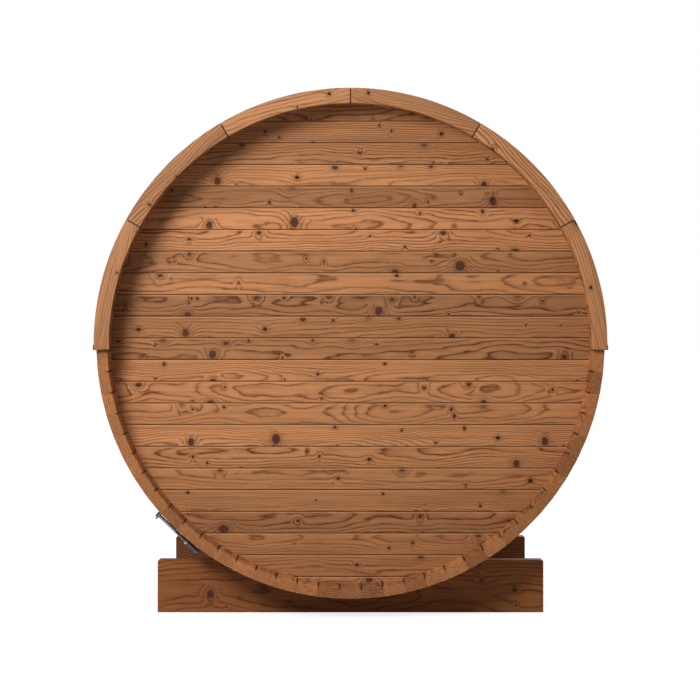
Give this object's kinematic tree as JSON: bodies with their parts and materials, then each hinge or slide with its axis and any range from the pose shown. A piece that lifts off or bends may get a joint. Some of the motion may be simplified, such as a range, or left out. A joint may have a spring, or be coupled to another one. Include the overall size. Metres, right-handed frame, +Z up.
{
  "type": "barrel sauna",
  "caption": "Round wooden sauna barrel of tongued staves with recessed boarded ends, curved cover trims, black roof covering and steel hoops, resting on saddle beams.",
  "frame": {"origin": "middle of the ground under the barrel, level with the undersides of the saddle beams", "axes": "+Z up, +Y along the barrel towards the door end, +X to the right when looking at the closed end"},
  "size_m": [2.036, 1.556, 2.1005],
  "materials": {
    "stave_wood": "sawn heat-treated softwood, paler end grain, oiled",
    "wall_wood": "planed heat-treated softwood with knots, oiled",
    "trim_wood": "planed heat-treated softwood, eased edges, oiled",
    "beam_wood": "planed heat-treated softwood beam, oiled",
    "stainless": "bright drawn stainless steel",
    "black_metal": "black coated sheet, satin",
    "bitumen": "black mineral-surfaced bitumen shingle, matt"
  },
  "bodies": {
    "root": {"lower_staves_1": "stave_wood", "lower_staves_2": "stave_wood", "lower_staves_3": "stave_wood", "lower_staves_4": "stave_wood", "lower_staves_5": "stave_wood", "upper_staves_1": "stave_wood", "upper_staves_2": "stave_wood", "upper_staves_3": "stave_wood", "upper_staves_4": "stave_wood", "upper_staves_5": "stave_wood", "upper_staves_6": "stave_wood", "back_wall": "wall_wood", "front_wall_left": "wall_wood", "front_wall_right": "wall_wood", "front_wall_over_door": "wall_wood", "front_wall_under_door": "wall_wood", "door_frame": "trim_wood", "door_leaf": "wall_wood", "door_hinges": "stainless", "door_handle": "trim_wood", "back_trims_left": "trim_wood", "back_trims_right": "trim_wood", "front_trims_left": "trim_wood", "front_trims_right": "trim_wood", "cradle_back": "beam_wood", "cradle_front": "beam_wood", "band_back": "stainless", "band_front": "stainless", "tensioner_back": "stainless", "tensioner_front": "stainless", "roof_covering": "bitumen", "drip_edge_left": "black_metal", "drip_edge_right": "black_metal"}
  },
  "joints": []
}
